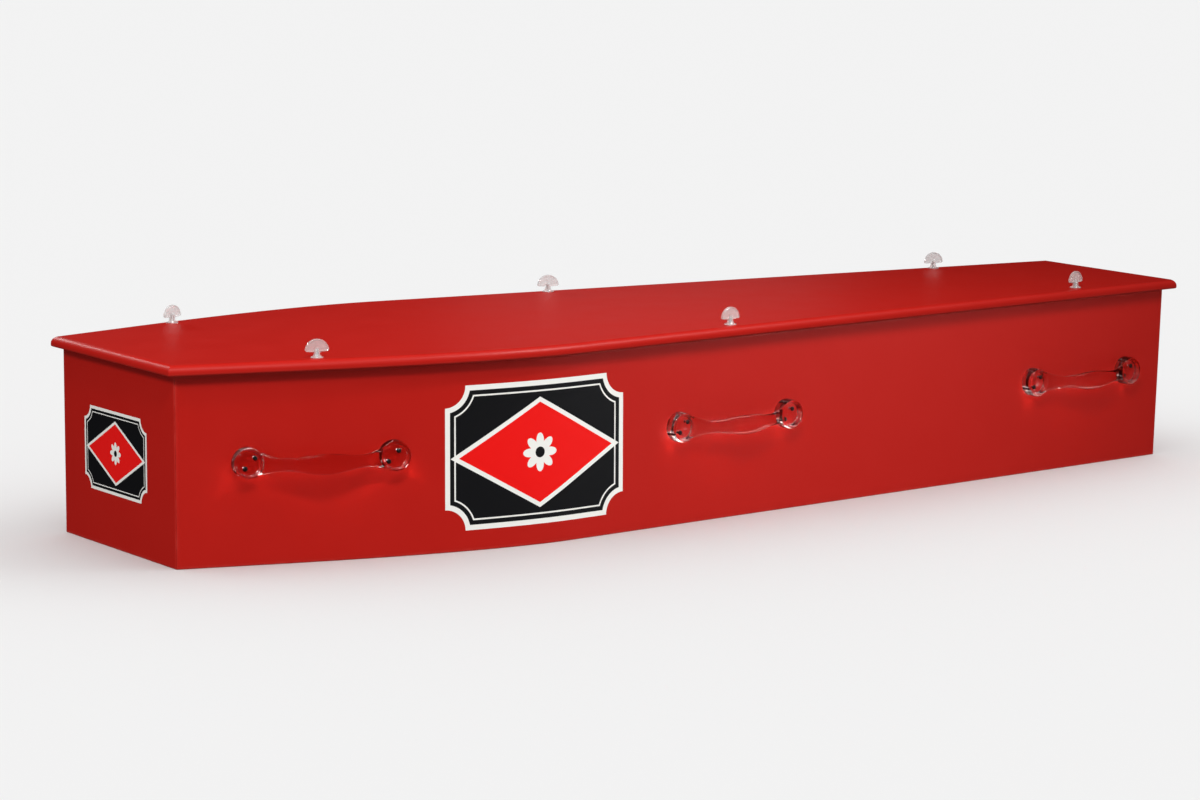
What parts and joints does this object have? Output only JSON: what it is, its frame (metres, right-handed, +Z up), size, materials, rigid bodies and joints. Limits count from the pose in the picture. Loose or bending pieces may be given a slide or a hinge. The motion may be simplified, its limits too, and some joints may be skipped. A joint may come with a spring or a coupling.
{
  "type": "wooden coffin",
  "caption": "Shouldered wooden coffin painted red, with a flat overhanging lift-off lid, clear thumb screws in the lid and clear carrying handles on the sides.",
  "frame": {"origin": "under the middle of the bounding box, on the floor plane", "axes": "+X along the length towards the foot, +Z up, -Y the side that faces the camera in the picture"},
  "size_m": [1.948, 0.6198, 0.3306],
  "materials": {
    "red_paint": "satin red paint over board, fine orange peel",
    "clear_plastic": "water-clear moulded plastic, polished",
    "milky_plastic": "translucent moulded plastic, slightly milky",
    "steel": "bright zinc-plated steel",
    "black_steel": "black screw heads"
  },
  "bodies": {
    "root": {"base_board": "red_paint", "head_board": "red_paint", "foot_board": "red_paint", "side_board_right": "red_paint", "side_board_left": "red_paint", "lid": "red_paint", "lid_screw_right_head": "milky_plastic", "lid_stud_right_head": "steel", "lid_screw_right_middle": "milky_plastic", "lid_stud_right_middle": "steel", "lid_screw_right_foot": "milky_plastic", "lid_stud_right_foot": "steel", "lid_screw_left_head": "milky_plastic", "lid_stud_left_head": "steel", "lid_screw_left_middle": "milky_plastic", "lid_stud_left_middle": "steel", "lid_screw_left_foot": "milky_plastic", "lid_stud_left_foot": "steel", "handle_right_head": "clear_plastic", "handle_screw_right_head_1": "black_steel", "handle_screw_right_head_2": "black_steel", "handle_screw_right_head_3": "black_steel", "handle_screw_right_head_4": "black_steel", "handle_right_middle": "clear_plastic", "handle_screw_right_middle_1": "black_steel", "handle_screw_right_middle_2": "black_steel", "handle_screw_right_middle_3": "black_steel", "handle_screw_right_middle_4": "black_steel", "handle_right_foot": "clear_plastic", "handle_screw_right_foot_1": "black_steel", "handle_screw_right_foot_2": "black_steel", "handle_screw_right_foot_3": "black_steel", "handle_screw_right_foot_4": "black_steel", "handle_left_head": "clear_plastic", "handle_screw_left_head_1": "black_steel", "handle_screw_left_head_2": "black_steel", "handle_screw_left_head_3": "black_steel", "handle_screw_left_head_4": "black_steel", "handle_left_middle": "clear_plastic", "handle_screw_left_middle_1": "black_steel", "handle_screw_left_middle_2": "black_steel", "handle_screw_left_middle_3": "black_steel", "handle_screw_left_middle_4": "black_steel", "handle_left_foot": "clear_plastic", "handle_screw_left_foot_1": "black_steel", "handle_screw_left_foot_2": "black_steel", "handle_screw_left_foot_3": "black_steel", "handle_screw_left_foot_4": "black_steel"}
  },
  "joints": []
}
